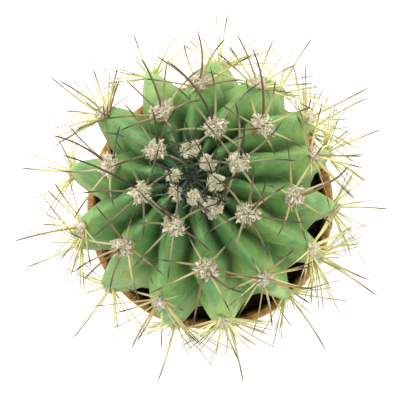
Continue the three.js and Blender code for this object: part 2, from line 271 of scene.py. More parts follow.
FLOOR_HALF = 3  # metres
FLOOR_GLOW = 0.4
SKY_STRENGTH = 0.88
KEY_LIGHT = {"place": (-0.45, 0.6, 1.3), "size": 0.7, "power": 18}  # metres and watts
FILL_LIGHT = {"place": (1.1, -0.2, 0.7), "size": 1.2, "power": 7}


# ---- small helpers ----

def draw(rib, areole, item):
    """repeatable draw between 0 and 1, the same as in the solids"""
    value = math.sin(rib * 12.9898 + areole * 78.233 + item * 37.719) * 43758.5453
    return value - math.floor(value)


def between(limits, share):
    return limits[0] + (limits[1] - limits[0]) * share


def bell(x):
    return np.exp(-x * x)


def hump(share):
    """0 at both ends and 1 in the middle"""
    return 4 * share * (1 - share)


def smoothstep(x, low, high):
    share = np.clip((x - low) / (high - low), 0, 1)
    return share * share * (3 - 2 * share)


def short_turn(degrees):
    """the same turn, between -180 and 180 degrees"""
    return (degrees + 180) % 360 - 180


def unit(degrees):
    angle = np.radians(degrees)
    return np.array([np.cos(angle), np.sin(angle), 0.0])


def normalised(vectors):
    return vectors / np.linalg.norm(vectors, axis=-1, keepdims=True)


def bumps(points, size, seed):
    """smooth noise between about -1 and 1 at each point, with features of a size in millimetres"""
    shift = Vector((seed * 17.3, seed * 5.1, seed * 9.7))
    return np.array([noise.noise(Vector(point) / size + shift) for point in points])


def lumps(points, layers, seed):
    """noise in layers of (size, height), each with a seed of its own"""
    return sum(height * bumps(points, size, seed + k) for k, (size, height) in enumerate(layers))


def tones(points, size, seed):
    """smooth noise from about 0 to 1"""
    return bumps(points, size, seed) * 0.5 + 0.5


# ---- making pieces ----

def add_piece(name, points, faces, material, replaced, attributes=None):
    mesh = bpy.data.meshes.new(name)
    mesh.from_pydata((np.asarray(points) * MM).tolist(), [], faces)
    for key, values in (attributes or {}).items():
        layer = mesh.attributes.new(key, "FLOAT", "POINT")
        layer.data.foreach_set("value", np.asarray(values, np.float32).ravel())
    mesh.polygons.foreach_set("use_smooth", [True] * len(mesh.polygons))
    mesh.materials.append(material)
    mesh.update()
    piece = bpy.data.objects.new(name, mesh)
    bpy.context.scene.collection.objects.link(piece)
    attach(piece, "root")
    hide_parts(replaced)


def joined(parts):
    """one list of points and one of faces from several (points, faces)"""
    points, faces, start = [], [], 0
    for part_points, part_faces in parts:
        points.append(part_points)
        faces += [[corner + start for corner in face] for face in part_faces]
        start += len(part_points)
    return np.concatenate(points), faces


def ball_faces(rows, columns):
    """faces of closed rings [row, column] from the top down, then a top point and a bottom point"""
    index = np.arange(rows * columns).reshape(rows, columns)
    right = np.roll(index, -1, axis=1)
    walls = np.stack([index[:-1], index[1:], right[1:], right[:-1]], axis=-1).reshape(-1, 4).tolist()
    top = rows * columns
    bottom = top + 1
    caps = [[top, a, b] for a, b in zip(index[0].tolist(), right[0].tolist())]
    caps += [[bottom, b, a] for a, b in zip(index[-1].tolist(), right[-1].tolist())]
    return walls + caps


def strands(paths, radii, sides, flatness=1):
    """closed tubes along paths [strand, step, xyz], with a radius at every step"""
    count, steps, _ = paths.shape
    tangent = normalised(np.gradient(paths, axis=1))
    chord = np.abs(paths[:, -1] - paths[:, 0])
    reference = np.eye(3)[np.argmin(chord, axis=1)][:, None]
    side = normalised(np.cross(tangent, reference))
    other = np.cross(tangent, side)
    angle = 2 * math.pi * np.arange(sides) / sides
    across = side[:, :, None] * np.cos(angle)[:, None]
    through = other[:, :, None] * (np.sin(angle) * flatness)[:, None]
    points = paths[:, :, None] + radii[:, :, None, None] * (across + through)
    index = np.arange(count * steps * sides).reshape(count, steps, sides)
    low, high = index[:, :-1], index[:, 1:]
    walls = np.stack([low, np.roll(low, -1, 2), np.roll(high, -1, 2), high], axis=-1)
    faces = walls.reshape(-1, 4).tolist() + index[:, 0, ::-1].tolist() + index[:, -1].tolist()
    return points.reshape(-1, 3), faces


def along_strands(values, count, steps, sides):
    """spreads values of a shape like [strand, 1] or [1, step] over the points of strands"""
    return np.broadcast_to(np.asarray(values)[..., None], (count, steps, sides)).ravel()


# ---- cactus body ----

def list_areoles():
    """each rib's listed areoles, and below them more at a regular pitch"""
    ribs = []
    for rib, listed in enumerate(RIBS):
        areoles = [dict(zip(("down", "around", "heading", "length"), row)) for row in listed]
        last = areoles[-1]
        while last["down"] + AREOLE_PITCH <= LAST_AREOLE:
            jitter = between((-CENTRAL_JITTER, CENTRAL_JITTER), draw(rib, len(areoles), DRAWS["heading"]))
            heading = last["around"] + jitter
            last = dict(last, down=last["down"] + AREOLE_PITCH, heading=heading, length=CENTRAL_LENGTH)
            areoles.append(last)
        ribs.append(areoles)
    return ribs


def outline(down):
    """the outline's radius, height and outward direction"""
    angle = np.radians(down)
    rise = np.where(np.asarray(down) < 90, CROWN_RISE, ROOT_DROP)
    flat, up = rise * np.sin(angle), CREST_RADIUS * np.cos(angle)
    size = np.hypot(flat, up)
    return CREST_RADIUS * np.sin(angle), EQUATOR + rise * np.cos(angle), flat / size, up / size


def crest_around(areoles, down):
    return np.interp(down, [a["down"] for a in areoles], [a["around"] for a in areoles])


def swelling(areoles, down, shape):
    return sum(bell((down - a["down"] - shape["shift"]) / shape["width"]) for a in areoles)


def groove_around(ribs, rib, down):
    here, following = ribs[rib], ribs[(rib + 1) % len(ribs)]
    start = crest_around(here, down)
    spacing = (crest_around(following, down) - start) % 360
    push = swelling(here, down, CHIN) - swelling(following, down, CHIN)
    return start + spacing * (0.5 + GROOVE_WIGGLE * push)


def flank(across, radius):
    """a rib's profile: 1 on its rounded crest, and 0 in the grooves"""
    far = smoothstep(radius, *FAR_REACH)
    rounded = between(CREST_ROUND, far)
    slope = (np.hypot(across, rounded) - rounded) / (np.hypot(1, rounded) - rounded)
    return np.clip(1 - slope, 0, 1) ** between(FLANK_POWER, far)


def skin(ribs, rib, down, across):
    """points of the skin: across runs from -1 in one groove over 0 on the crest to 1 in the next"""
    down, across = np.broadcast_arrays(np.asarray(down, float), np.asarray(across, float))
    radius, height, flat, up = outline(down)
    areoles = ribs[rib]
    crest = crest_around(areoles, down)
    groove = np.where(across < 0, groove_around(ribs, rib - 1, down), groove_around(ribs, rib, down))
    around = crest + short_turn(groove - crest) * np.abs(across)

    fade = 1 - smoothstep(down, *GROOVE_FADE)
    fuller = bell(short_turn(around - FULL_SIDE) / FULL_SIDE_WIDTH) * (radius / CREST_RADIUS) ** FULL_GROWTH
    depth = GROOVE_DEPTH * (1 - FULLNESS * fuller) * (1 - np.exp(-radius / GROOVE_SPREAD)) * fade
    relief = CHIN["height"] * swelling(areoles, down, CHIN) - NOTCH["height"] * swelling(areoles, down, NOTCH)
    bump = relief * (1 - np.exp(-radius / BUMP_GROWTH)) * fade
    lift = -depth + (depth + bump) * flank(across, radius)

    distance = radius + lift * flat
    dimple = np.where(down < 90, CROWN_DIMPLE * bell(distance / DIMPLE_RADIUS), 0)
    level = height + lift * up - dimple
    turn = np.radians(around)
    return np.stack([distance * np.cos(turn), distance * np.sin(turn), level], axis=-1)


def row_angles():
    upper = np.arange(ROW_STEP, GROOVE_FADE[1], ROW_STEP)
    lower = np.arange(GROOVE_FADE[1], 180 - BURIED_ROW_STEP / 2, BURIED_ROW_STEP)
    return np.concatenate([upper, lower])


def make_body(ribs, material):
    rows = row_angles()
    # the columns stand closer in the groove and on the crest than on the flanks
    even = np.arange(COLUMNS_PER_RIB) / COLUMNS_PER_RIB * 2 - 1
    across = even - np.sin(even * 2 * math.pi) * COLUMN_CROWDING
    rings = np.concatenate([skin(ribs, rib, rows[:, None], across[None]) for rib in range(len(ribs))], axis=1)
    columns = rings.shape[1]
    top = [0, 0, EQUATOR + CROWN_RISE - CROWN_DIMPLE]
    bottom = [0, 0, EQUATOR - ROOT_DROP]
    points = np.concatenate([rings.reshape(-1, 3), [top, bottom]])

    outward = normalised(points - [0, 0, EQUATOR])
    ripple = SKIN_RIPPLE["height"] * bumps(points, SKIN_RIPPLE["size"], SEEDS["ripple"])
    grain = SKIN_GRAIN["height"] * bumps(points, SKIN_GRAIN["size"], SEEDS["skin_grain"])
    above = points[:, 2] > SOIL_LEVEL
    points = points + outward * ((ripple + grain) * above)[:, None]

    hollow = np.tile(np.tile(np.abs(across), len(ribs)), len(rows))
    low = np.repeat(rows, columns) / 180
    attributes = {"hollow": np.append(hollow, [0, 0]), "low": np.append(low, [0, 1])}
    faces = ball_faces(len(rows), columns)
    add_piece("cactus_body", points, faces, material, "cactus", attributes)


# ---- areoles and spines ----

class Areole:
    """where an areole sits: its place, and the directions out of it, down the rib and across it"""

    def __init__(self, ribs, rib, number):
        listed = ribs[rib][number]
        self.rib = rib
        self.number = number
        self.down = listed["down"]
        self.heading = listed["heading"]
        self.length = listed["length"]
        self.place = skin(ribs, rib, self.down, 0)
        _, _, flat, up = outline(self.down)
        self.out = unit(listed["around"]) * flat + np.array([0, 0, up])
        self.across = normalised(np.cross([0, 0, 1], self.out))
        self.down_rib = np.cross(self.across, self.out)
        distance = np.hypot(self.place[0], self.place[1])
        worn = 1 - WOOL_WEAR * float(smoothstep(self.down, *WOOL_WEAR_REACH))
        self.radius = min(WOOL_RADIUS, YOUNG_WOOL_RADIUS + WOOL_GROWTH * distance) * worn
        self.young = self.down < YOUNG_UNTIL
        self.low = self.down > 90
        self.slimness = YOUNG_THICKNESS if self.young else LOW_THICKNESS if self.low else 1
        self.fineness = YOUNG_FINENESS if self.young else 1
        self.age = self.down / LAST_AREOLE

    def flat(self, degrees):
        """directions along the skin, with 0 degrees down the rib"""
        angle = np.radians(np.asarray(degrees))[..., None]
        return self.down_rib * np.cos(angle) + self.across * np.sin(angle)

    def pick(self, limits, purpose, k=0):
        """the areole's own repeatable draw for a purpose, between two limits"""
        return between(limits, draw(self.rib, self.number, DRAWS[purpose] + k))


def length_in_reach(start, direction, length):
    for axis in (0, 1):
        room = SPINE_REACH - math.copysign(1, direction[axis]) * start[axis]
        length = min(length, room / max(abs(direction[axis]), 1e-9))
    return length


def clear_length(start, direction, length, clearance):
    """how much of a spine's length stays clear of the pot"""
    distances = np.linspace(0, length, CLEARANCE_CHECKS)
    steps = start + direction * distances[:, None]
    low = steps[:, 2] < POT_HEIGHT + clearance
    near = low & (np.hypot(steps[:, 0], steps[:, 1]) < RIM_RADIUS + clearance)
    return distances[np.argmax(near)] if near.any() else length


def radial_spine(areole, k):
    jitter = areole.pick((-RADIAL_JITTER, RADIAL_JITTER), "radial_turn", k)
    return {
        "flat": areole.flat(360 * (k + 0.5) / RADIAL_SPINES + jitter),
        "lift": areole.pick(RADIAL_LIFT, "radial_lift", k) + (YOUNG_LIFT if areole.young else 0),
        "length": areole.pick(RADIAL_LENGTH, "radial_length", k) * (YOUNG_LENGTH if areole.young else 1),
        "foot": RADIAL_FOOT,
        "thickness": RADIAL_THICKNESS * areole.slimness,
        "thin": False,
        "tone": areole.pick(RADIAL_TONE, "radial_tone", k),
        "bow": areole.pick(RADIAL_BOW, "radial_bow", k),
    }


def central_spine(areole):
    heading = unit(areole.heading)
    leaning = normalised(heading + areole.out * CENTRAL_LEAN)
    own_lift = 90 - math.degrees(math.acos(leaning.dot(areole.out)))
    return {
        "flat": normalised(heading - areole.out * heading.dot(areole.out)),
        "lift": max(own_lift, areole.pick(CENTRAL_LIFT, "central_lift")),
        "length": areole.length,
        "foot": 0,
        "thickness": YOUNG_CENTRAL_THICKNESS if areole.young else 1,
        "thin": False,
        "tone": areole.pick(CENTRAL_TONE, "central_tone"),
        "bow": areole.pick(CENTRAL_BOW, "central_bow"),
    }


def bristle(areole, k, count):
    jitter = areole.pick((-BRISTLE_JITTER, BRISTLE_JITTER), "bristle_turn", k)
    return {
        "flat": areole.flat(360 * k / count + jitter),
        "lift": areole.pick(BRISTLE_LIFT, "bristle_lift", k),
        "length": areole.pick(BRISTLE_LENGTH, "bristle_length", k),
        "foot": BRISTLE_FOOT,
        "thickness": BRISTLE_RADIUS / SPINE_RADIUS,
        "thin": True,
        "tone": areole.pick(BRISTLE_TONE, "bristle_tone", k),
        "bow": areole.pick(BRISTLE_BOW, "bristle_bow", k),
    }


def list_spines(areoles):
    found = []
    for areole in areoles:
        wanted = [central_spine(areole)] + [radial_spine(areole, k) for k in range(RADIAL_SPINES)]
        if areole.down > BRISTLES_FROM:
            count = LOW_BRISTLES if areole.low else BRISTLES
            wanted += [bristle(areole, k, count) for k in range(count)]
        for spine in wanted:
            lift = math.radians(spine["lift"])
            direction = spine["flat"] * math.cos(lift) + areole.out * math.sin(lift)
            start = areole.place + spine["flat"] * spine["foot"]
            length = length_in_reach(start, direction, spine["length"])
            clearance = BRISTLE_CLEARANCE if spine["thin"] else POT_CLEARANCE
            clear = clear_length(start, direction, length, clearance)
            if clear == length or (spine["thin"] and clear > SHORTEST_BRISTLE):
                placed = {"start": start, "direction": direction, "length": clear}
                found.append({**spine, **placed, "out": areole.out, "age": areole.age})
    return found


def make_spines(name, areoles, material):
    spines = list_spines(areoles)
    keys = ("start", "direction", "length", "thickness", "out", "age", "tone", "bow")
    start, direction, length, thickness, out, age, tone, bow = (
        np.array([spine[key] for spine in spines]) for key in keys)

    share = np.linspace(0, 1, SPINE_STEPS)
    travel = (share[None] * (length + SPINE_ROOT)[:, None] - SPINE_ROOT)[..., None] * direction[:, None]
    sideways = normalised(np.cross(direction, out))
    bend = length[:, None] * (bow[:, None] * sideways + SPINE_ARCH * out)
    bend = bend * between((1, OUTER_STRAIGHTNESS), smoothstep(age, *STRAIGHTENING))[:, None]
    paths = start[:, None] + travel + bend[:, None] * hump(share)[None, :, None]

    point = np.minimum(POINT_WIDTH + (1 - share) * POINT_SHARPNESS, 1)
    radii = SPINE_RADIUS * thickness[:, None] * ((1 - SPINE_TAPER * share) * point)[None]
    points, faces = strands(paths, radii, SPINE_SIDES)
    shape = (len(spines), SPINE_STEPS, SPINE_SIDES)
    looks = {
        "along": along_strands(share[None], *shape),
        "age": along_strands(age[:, None], *shape),
        "tone": along_strands(tone[:, None], *shape),
    }
    add_piece(name, points, faces, material, "cactus", looks)


# ---- wool ----

def felt_pad(areole, seed):
    """a lumpy cushion of felted wool, sunk into the rib"""
    polar = np.linspace(0, math.pi, PAD_RINGS + 2)[1:-1]
    flat = areole.flat(360 * np.arange(PAD_SIDES) / PAD_SIDES)
    if areole.young:
        flat = flat * areole.pick(YOUNG_PAD_WIDTH, "pad_width")
    top_height = YOUNG_PAD_HEIGHT if areole.young else PAD_HEIGHT
    width = areole.radius * PAD_WIDTH * np.sin(polar)
    height = np.where(polar < math.pi / 2, top_height, PAD_DEPTH) * np.cos(polar)
    rings = width[:, None, None] * flat[None] + height[:, None, None] * areole.out
    ends = [areole.out * top_height, -areole.out * PAD_DEPTH]
    offsets = np.concatenate([rings.reshape(-1, 3), ends])
    swell = 1 + lumps(areole.place + offsets, PAD_LUMPS, seed)
    return areole.place + offsets * swell[:, None], ball_faces(PAD_RINGS, PAD_SIDES)


def woolly_strands(areoles, rng, kind):
    """short curled strands that stand out of each pad all round"""
    count = kind["count"]
    total = len(areoles) * count
    keys = ("place", "out", "down_rib", "across", "radius", "age", "fineness")
    place, out, down_rib, across, pad_radius, age, fineness = (
        np.repeat([getattr(areole, key) for areole in areoles], count, axis=0) for key in keys)
    size = pad_radius / WOOL_RADIUS

    turn = rng.uniform(0, 2 * math.pi, total)
    phases = np.repeat(rng.uniform(0, 2 * math.pi, (len(areoles), len(PAD_OUTLINE))), count, axis=0)
    ragged = 1.0
    for k, (waves, height) in enumerate(PAD_OUTLINE):
        ragged = ragged + height * np.sin(waves * turn + phases[:, k])
    share = np.sqrt(rng.uniform(0, 1, total))
    reach = TUFT_REACH * share * ragged * size
    dome = TUFT_DOME * np.sqrt(1 - DOME_FALL * share ** 2)
    flat = down_rib * np.cos(turn)[:, None] + across * np.sin(turn)[:, None]
    foot = place + flat * reach[:, None] + out * dome[:, None]
    lean = np.radians(rng.uniform(*TUFT_LEAN, total) + EDGE_LEAN * share)
    disorder = rng.normal(0, TUFT_DISORDER, (total, 3))
    direction = normalised(flat * np.sin(lean)[:, None] + out * np.cos(lean)[:, None] + disorder)
    length = rng.uniform(*kind["length"], total) * size

    steps = np.linspace(0, 1, TUFT_STEPS)
    side = normalised(np.cross(direction, out + rng.normal(0, CURL_DISORDER, (total, 3))))
    other = np.cross(direction, side)
    first_turn = rng.uniform(0, 2 * math.pi, total)
    twist = first_turn[:, None] + steps[None] * rng.uniform(*CURL_TURN, total)[:, None]
    wave = side[:, None] * np.cos(twist)[..., None] + other[:, None] * np.sin(twist)[..., None]
    travel = (length[:, None] * steps[None])[..., None]
    paths = foot[:, None] + (direction[:, None] + wave * CURL) * travel

    taper = np.sqrt(np.minimum(1 + HAIR_TIP - steps, 1))
    thickness = kind["radius"] * rng.uniform(*TUFT_THICKNESS, total) * size * fineness
    points, faces = strands(paths, thickness[:, None] * taper[None], TUFT_SIDES, kind["flatness"])
    shape = (total, TUFT_STEPS, TUFT_SIDES)
    looks = {
        "tone": along_strands(rng.uniform(0, 1, total)[:, None], *shape),
        "along": along_strands(steps[None], *shape),
        "age": along_strands(age[:, None], *shape),
    }
    return points, faces, looks


def make_wool(name, areoles, material, seed):
    rng = np.random.default_rng(seed)
    pads = [felt_pad(areole, seed + k) for k, areole in enumerate(areoles)]
    pad_points, pad_faces = joined(pads)
    per_pad = len(pads[0][0])
    # grown felt pads take the painted root shade in full, young ones none
    pad_looks = {
        "tone": tones(pad_points, PAD_TONE_SIZE, SEEDS["pad_tone"]),
        "along": np.repeat([YOUNG_PAD_ALONG if a.young else 0.0 for a in areoles], per_pad),
        "age": np.repeat([a.age for a in areoles], per_pad),
    }
    tufts = woolly_strands(areoles, rng, TUFTS)
    threads = woolly_strands(areoles, rng, THREADS)
    points, faces = joined([(pad_points, pad_faces), tufts[:2], threads[:2]])
    looks = {key: np.concatenate([pad_looks[key], tufts[2][key], threads[2][key]]) for key in pad_looks}
    add_piece(name, points, faces, material, "cactus", looks)


def make_tangle(material):
    """thin dark hairs that cross over the growing point, with finer pale ones among them"""
    rng = np.random.default_rng(SEEDS["tangle"])
    pale = rng.uniform(0, 1, TANGLE) < PALE_SHARE
    turn = rng.uniform(0, 2 * math.pi, TANGLE)
    distance = TANGLE_SPREAD * np.sqrt(rng.uniform(*TANGLE_AREA, TANGLE))
    edge = TANGLE_EDGE["height"] * bell((distance - DIMPLE_RADIUS) / TANGLE_EDGE["width"])
    level = EQUATOR + CROWN_RISE - CROWN_DIMPLE - TANGLE_SINK - distance ** 2 * TANGLE_FALL + edge
    foot = np.stack([distance * np.cos(turn), distance * np.sin(turn), level], axis=-1)
    heading = turn + math.pi + rng.normal(0, TANGLE_DISORDER, TANGLE)
    rise = rng.uniform(*TANGLE_RISE, TANGLE)
    direction = normalised(np.stack([np.cos(heading), np.sin(heading), rise], axis=-1))
    length = rng.uniform(*TANGLE_LENGTH, TANGLE)
    steps = np.linspace(0, 1, SPINE_STEPS)
    bend = rng.normal(0, 1, (TANGLE, 3)) * TANGLE_BEND
    paths = foot[:, None] + direction[:, None] * (length[:, None] * steps)[..., None]
    paths = paths + bend[:, None] * hump(steps)[None, :, None]
    thickness = TANGLE_RADIUS * rng.uniform(*TANGLE_THICKNESS, TANGLE) * np.where(pale, PALE_THICKNESS, 1)
    points, faces = strands(paths, thickness[:, None] * (1 + HAIR_TIP - steps)[None], TUFT_SIDES)
    shape = (TANGLE, SPINE_STEPS, TUFT_SIDES)
    looks = {
        "along": along_strands(steps[None] * TANGLE_ALONG, *shape),
        "age": np.zeros(len(points)),
        "tone": along_strands(np.where(pale, PALE_TONE, 0.0)[:, None], *shape),
    }
    add_piece("crown_hairs", points, faces, material, "cactus", looks)


# ---- pot and soil ----

def arc(middle, radius, start, end, steps=8):
    """points (radius, height) of an arc, between two angles in degrees"""
    angles = np.radians(np.linspace(start, end, steps))
    return [(middle[0] + radius * math.cos(a), middle[1] + radius * math.sin(a)) for a in angles]


def subdivided(profile, step):
    """the closed profile with extra points so that none is further than step from the next"""
    points = []
    for here, following in zip(profile, profile[1:] + profile[:1]):
        parts = max(1, math.ceil(math.dist(here, following) / step))
        points += [tuple(np.add(here, np.subtract(following, here) * k / parts)) for k in range(parts)]
    return points


def revolved(profile, sides):
    """points and faces of a closed profile turned about +Z"""
    profile = np.array(profile)
    turn = 2 * math.pi * np.arange(sides) / sides
    radius, height = profile[:, :1], profile[:, 1:]
    points = np.stack([radius * np.cos(turn), radius * np.sin(turn), height + 0 * turn], axis=-1)
    index = np.arange(len(profile) * sides).reshape(len(profile), sides)
    right = np.roll(index, -1, axis=1)
    faces = np.stack([index, right, np.roll(right, -1, 0), np.roll(index, -1, 0)], axis=-1)
    return points.reshape(-1, 3), faces.reshape(-1, 4).tolist()


def inner_radius(height):
    return between((FOOT_RADIUS - WALL, RIM_RADIUS - LIP), height / POT_HEIGHT)


def make_pot(material):
    collar_foot = POT_HEIGHT - COLLAR_HEIGHT
    lip_height = POT_HEIGHT - LIP_ROUND
    profile = [(DRAIN_RADIUS, 0)]
    profile += arc((FOOT_RADIUS - FOOT_ROUND, FOOT_ROUND), FOOT_ROUND, -90, 0)
    profile += [(COLLAR_RADIUS - COLLAR_STEP, collar_foot)]
    profile += arc((COLLAR_RADIUS - COLLAR_ROUND, collar_foot + COLLAR_ROUND), COLLAR_ROUND, -90, 0)
    profile += arc((RIM_RADIUS - LIP_ROUND, lip_height), LIP_ROUND, 0, 90)
    profile += arc((RIM_RADIUS - LIP + LIP_ROUND, lip_height), LIP_ROUND, 90, 180)
    profile += [(inner_radius(FLOOR), FLOOR), (DRAIN_RADIUS, FLOOR)]
    points, faces = revolved(subdivided(profile, POT_STEP), POT_SIDES)

    rings = TURNING_HEIGHT * np.sin(points[:, 2] * 2 * math.pi / TURNING_PITCH)
    swell = CLAY_SWELL["height"] * bumps(points, CLAY_SWELL["size"], SEEDS["clay"])
    outside = np.hypot(points[:, 0], points[:, 1]) > inner_radius(points[:, 2]) + INSIDE_MARGIN
    wall = outside & (points[:, 2] > FOOT_ROUND)
    outward = normalised(points * [1, 1, 0])
    points = points + outward * ((rings + swell - CLAY_INSET) * wall)[:, None]
    add_piece("clay_pot", points, faces, material, "pot")


def soil_profile():
    """floor, side and top of the soil, and then the hole that the body stands in"""
    bottom = FLOOR + GAP
    start = math.degrees(math.acos((SOIL_LEVEL - EQUATOR) / ROOT_DROP))
    radius, height, _, _ = outline(np.linspace(start, HOLE_END, HOLE_STEPS))
    hole = list(zip(radius + HOLE_GAP, height - HOLE_GAP))
    hole[0] = (hole[0][0], SOIL_LEVEL)
    return [
        (CORE_RADIUS, bottom),
        (inner_radius(bottom) - GAP, bottom),
        (inner_radius(SOIL_LEVEL) - GAP, SOIL_LEVEL),
        *hole,
        (CORE_RADIUS, EQUATOR - ROOT_DROP - HOLE_GAP),
    ]


def make_soil(material):
    points, faces = revolved(subdivided(soil_profile(), SOIL_STEP), SOIL_SIDES)
    top = points[:, 2] > SOIL_LEVEL - 0.01
    points[:, 2] += top * lumps(points, SOIL_LUMPS, SEEDS["soil_lumps"])
    looks = {"tone": tones(points, SOIL_TONE_SIZE, SEEDS["soil_tone"])}
    add_piece("potting_soil", points, faces, material, "soil", looks)


def ball():
    """points and faces of a ball with a radius of 1"""
    build = bmesh.new()
    bmesh.ops.create_icosphere(build, subdivisions=2, radius=1)
    build.verts.index_update()
    points = np.array([vertex.co for vertex in build.verts])
    faces = [[vertex.index for vertex in face.verts] for face in build.faces]
    build.free()
    return points, faces


def make_grains(material):
    """loose lumps and grit on the soil"""
    rng = np.random.default_rng(SEEDS["grains"])
    shape, corners = ball()
    grains, grain_tones = [], []
    for k in range(GRAINS):
        size = between(GRAIN_SIZE, rng.uniform() ** 2)
        stretch = rng.uniform(*GRAIN_STRETCH, 3)
        uneven = 1 + GRAIN_LUMPS["height"] * bumps(shape, GRAIN_LUMPS["size"], SEEDS["grain_lumps"] + k)
        turn = Matrix.Rotation(rng.uniform(0, GRAIN_TURN), 3, Vector(rng.normal(0, 1, 3)))
        distance = rng.uniform(GRAIN_RING[0] + size * 0.5, GRAIN_RING[1] - size)
        middle = unit(rng.uniform(0, 360)) * distance + [0, 0, SOIL_LEVEL + size * GRAIN_RISE]
        grains.append(((shape * stretch * uneven[:, None] * size) @ np.array(turn).T + middle, corners))
        grain_tones.append(np.full(len(shape), rng.uniform()))
    points, faces = joined(grains)
    looks = {"tone": np.concatenate(grain_tones)}
    add_piece("soil_grains", points, faces, material, "soil", looks)


# ---- materials ----

def colour(tint):
    """a tint given in screen values from 0 to 255, as a linear colour"""
    if isinstance(tint, bpy.types.NodeSocket):
        return tint
    linear = [(c / 255 / 12.92) if c < 10.3 else ((c / 255 + 0.055) / 1.055) ** 2.4 for c in tint]
    return (*linear, 1.0)


class Look:
    """a material and short calls that add and join its nodes"""

    def __init__(self, name, roughness, specular=0.4):
        self.material = bpy.data.materials.new(name)
        self.material.use_nodes = True
        self.tree = self.material.node_tree
        self.shader = self.tree.nodes["Principled BSDF"]
        self.shader.inputs["Roughness"].default_value = roughness
        self.shader.inputs["Specular IOR Level"].default_value = specular
        # a point's place in metres
        self.place = self.add("ShaderNodeTexCoord").outputs["Object"]

    def add(self, kind, inputs=None, **settings):
        node = self.tree.nodes.new(kind)
        for key, value in settings.items():
            setattr(node, key, value)
        for key, value in (inputs or {}).items():
            self.feed(node.inputs[key], value)
        return node

    def feed(self, socket, value):
        if isinstance(value, bpy.types.NodeSocket):
            self.tree.links.new(value, socket)
        else:
            socket.default_value = value

    def attribute(self, name):
        return self.add("ShaderNodeAttribute", attribute_name=name).outputs["Fac"]

    def math(self, operation, *values):
        return self.add("ShaderNodeMath", dict(enumerate(values)), operation=operation).outputs[0]

    def times(self, *values):
        """the product of two or three values"""
        product = values[0]
        for value in values[1:]:
            product = self.math("MULTIPLY", product, value)
        return product

    def vector(self, operation, inputs, output="Vector"):
        return self.add("ShaderNodeVectorMath", inputs, operation=operation).outputs[output]

    def noise(self, size, detail, roughness=0.55, place=None):
        """noise with features of a size in millimetres"""
        inputs = {"Scale": 1 / (size * MM), "Detail": detail, "Roughness": roughness}
        inputs["Vector"] = self.place if place is None else place
        return self.add("ShaderNodeTexNoise", inputs).outputs["Fac"]

    def stretch(self, value, low, high):
        """value spread so that low becomes 0 and high becomes 1"""
        inputs = {"Value": value, "From Min": low, "From Max": high}
        return self.add("ShaderNodeMapRange", inputs, clamp=True, interpolation_type="SMOOTHSTEP").outputs[0]

    def patches(self, size, detail, levels, strength=1.0, roughness=0.55, place=None):
        """strength inside irregular patches, where the noise is above the levels, and 0 outside them"""
        return self.times(self.stretch(self.noise(size, detail, roughness, place), *levels), strength)

    def mix(self, share, a, b):
        """the tint a, or b where share is 1"""
        # this node's sockets share their names, so the ones that mix colours go by number
        node = self.add("ShaderNodeMix", data_type="RGBA")
        self.feed(node.inputs[0], share)
        self.feed(node.inputs[6], colour(a))
        self.feed(node.inputs[7], colour(b))
        return node.outputs[2]

    def ramp(self, value, stops):
        node = self.add("ShaderNodeValToRGB", {"Fac": value})
        elements = node.color_ramp.elements
        while len(elements) < len(stops):
            elements.new(0.5)
        for element, (position, tint) in zip(elements, stops):
            element.position = position
            element.color = colour(tint)
        return node.outputs["Color"]

    def bump(self, height, distance, normal=None):
        inputs = {"Height": height, "Distance": distance * MM, "Strength": 1.0}
        if normal is not None:
            inputs["Normal"] = normal
        return self.add("ShaderNodeBump", inputs).outputs["Normal"]

    def finish(self, tint, normal=None, roughness=None):
        for key, value in {"Base Color": tint, "Normal": normal, "Roughness": roughness}.items():
            if value is not None:
                self.feed(self.shader.inputs[key], value)
        return self.material


def skin_material():
    look = Look("cactus_skin", roughness=0.5)
    low, hollow = look.attribute("low"), look.attribute("hollow")
    # the skin's colour from the crown down: the pale band far out is partly the skin's own paler colour and
    # partly painted light from the bright surroundings
    tint = look.ramp(low, [
        (0.0, (30, 56, 40)), (0.06, (50, 82, 46)), (0.14, (84, 124, 60)), (0.26, (126, 167, 88)),
        (0.38, (158, 186, 108)), (0.46, (160, 186, 112)), (0.53, (146, 172, 100)), (0.64, (120, 150, 80)),
        (0.75, (112, 120, 68)),
    ])
    bluish, light, shade, groove_shade = (84, 142, 84), (158, 192, 112), (66, 108, 56), (24, 56, 12)
    tint = look.mix(look.patches(20, 2, (0.42, 0.66), 0.7), tint, bluish)
    tint = look.mix(look.patches(5, 4, (0.48, 0.72), 0.28), tint, light)
    tint = look.mix(look.patches(8, 4, (0.5, 0.7), 0.26), tint, shade)
    # painted shade: the skin darkens towards the grooves, most near the crown
    groove = look.mix(look.stretch(low, 0.2, 0.45), groove_shade, (86, 126, 60))
    tint = look.mix(look.times(look.stretch(hollow, 0.5, 1.0), 0.8), tint, groove)
    pale_specks, dark_grain = (176, 200, 150), (62, 98, 50)
    tint = look.mix(look.patches(0.7, 2, (0.6, 0.72), 0.22), tint, pale_specks)
    tint = look.mix(look.patches(2, 5, (0.48, 0.7), 0.35, roughness=0.7), tint, dark_grain)
    fine = look.bump(look.noise(0.8, 4), 0.12)
    normal = look.bump(look.noise(4, 3), 0.5, fine)
    return look.finish(tint, normal, look.stretch(look.noise(6, 3), -1.2, 1.4))


